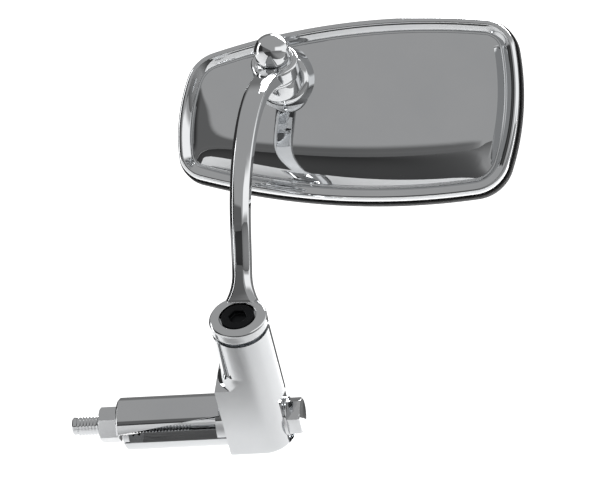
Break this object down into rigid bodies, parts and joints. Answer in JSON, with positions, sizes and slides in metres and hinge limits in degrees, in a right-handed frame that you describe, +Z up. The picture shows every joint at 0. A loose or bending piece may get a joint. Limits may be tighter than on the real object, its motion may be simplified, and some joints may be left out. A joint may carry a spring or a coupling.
{
  "type": "motorcycle bar-end mirror",
  "caption": "Chrome bar-end mirror: expander for the handlebar's bore, tilted clamp, arched stem and a trapezoid head on a ball joint.",
  "frame": {"origin": "on the handlebar's axis, where the clamp's foot meets the end of the bar", "axes": "+X outboard along the bar, -Y to the front of the bike, +Z up"},
  "size_m": [0.1321, 0.1051, 0.1299],
  "materials": {
    "chrome": "bright chrome plate",
    "black_steel": "black oxide",
    "plain_steel": "zinc plate",
    "nylon": "moulded",
    "rubber": "matt moulded",
    "foam": "closed-cell foam",
    "mirror": "silvered convex glass"
  },
  "bodies": {
    "clamp": {"clamp_body": "chrome", "expander_lower": "chrome", "bolt_washer": "chrome", "stem_screw": "black_steel", "stem_washer": "plain_steel"},
    "bolt": {"expander_bolt": "chrome"},
    "nut": {"expander_nut": "chrome"},
    "wedge": {"expander_upper": "chrome"},
    "arm": {"stem": "chrome", "dome_washer": "chrome", "pivot_washer": "chrome"},
    "knuckle": {"pivot_knuckle": "chrome", "dome_nut": "chrome"},
    "ball_grip": {"ball_seat": "nylon", "ball_cup": "nylon", "ball_spring": "plain_steel"},
    "head": {"back_shell": "chrome", "ball_retainer": "plain_steel", "retainer_screws": "plain_steel", "backing_plate": "plain_steel", "seal": "rubber", "glass_pad": "foam", "mirror_glass": "mirror"}
  },
  "joints": [
    {"name": "stem_swing", "type": "hinge", "parent": "clamp", "child": "arm", "pos_m": [0.0104, -0.02713, 0.02809], "axis": [0, -0.6947, 0.7193], "range_deg": [-40, 40]},
    {"name": "knuckle_swivel", "type": "hinge", "parent": "arm", "child": "knuckle", "pos_m": [0.0141, 0.02782, 0.10395], "axis": [0, -0.6947, 0.7193], "range_deg": [-25, 25]},
    {"name": "head_tilt", "type": "hinge", "parent": "knuckle", "child": "ball_grip", "pos_m": [0.01289, 0.04474, 0.10159], "axis": [0.992, 0.1148, -0.0521], "range_deg": [-5, 20]},
    {"name": "head_roll", "type": "hinge", "parent": "ball_grip", "child": "head", "pos_m": [0.01289, 0.04474, 0.10159], "axis": [0.1195, -0.9878, 0.0993], "range_deg": [-20, 20]},
    {"name": "bolt_turn", "type": "hinge", "parent": "clamp", "child": "bolt", "pos_m": [0, 0, 0], "axis": [1, 0, 0], "range_deg": [-360, 540]},
    {"name": "nut_travel", "type": "slide", "parent": "clamp", "child": "nut", "axis": [1, 0, 0], "range_m": [-0.001, 0.0015]},
    {"name": "wedge_climb", "type": "slide", "parent": "clamp", "child": "wedge", "axis": [0.9903, 0, 0.1392], "range_m": [-0.00101, 0.00152]}
  ],
  "couplings": [
    {"joint": "bolt_turn", "follows": "nut_travel", "rad_per_m": 6283.2},
    {"joint": "wedge_climb", "follows": "nut_travel", "ratio": 1.0098}
  ]
}
